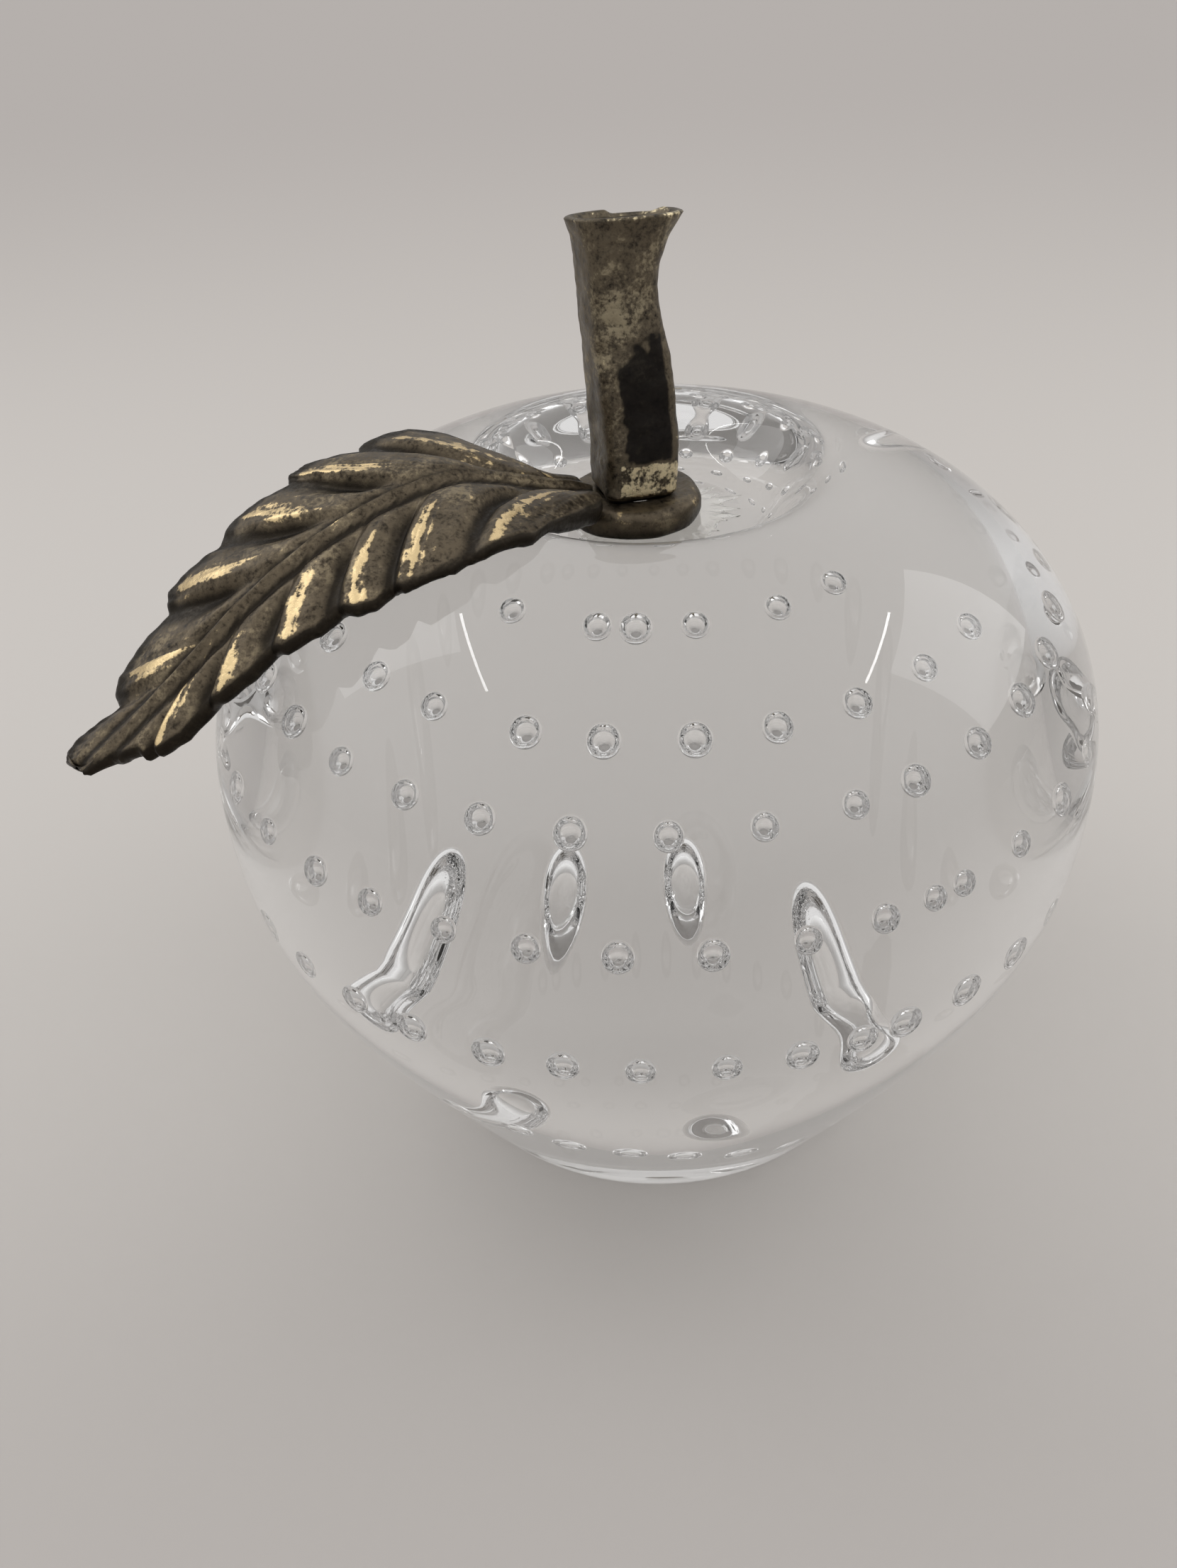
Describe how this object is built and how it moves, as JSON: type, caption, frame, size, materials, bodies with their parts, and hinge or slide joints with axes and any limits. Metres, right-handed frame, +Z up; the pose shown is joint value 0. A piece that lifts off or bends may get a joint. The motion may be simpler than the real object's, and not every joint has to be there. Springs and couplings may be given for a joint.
{
  "type": "glass apple paperweight",
  "caption": "Paperweight of solid clear glass shaped as an apple, with rings of trapped air bubbles, a dimpled crown, and a cast brass leaf and leaning stem glued in the dimple",
  "frame": {"origin": "middle of the polished flat foot, on the surface the apple stands on", "axes": "+Z up along the axis of the glass, -Y towards the viewer of the picture, +X to the viewer's right; the leaf points towards -X"},
  "size_m": [0.09, 0.085, 0.0903],
  "materials": {
    "clear_glass": "polished clear glass with trapped air bubbles",
    "clear_glue": "set clear glue, glossy and uneven",
    "rubbed_brass": "cast, darkened in the hollows and rubbed gold on the crests",
    "dark_brass": "cast and polished, with dark antique colour and fine pits"
  },
  "bodies": {
    "root": {"glass_body": "clear_glass", "glue_bead": "clear_glue", "leaf": "rubbed_brass", "stem": "dark_brass"}
  },
  "joints": []
}
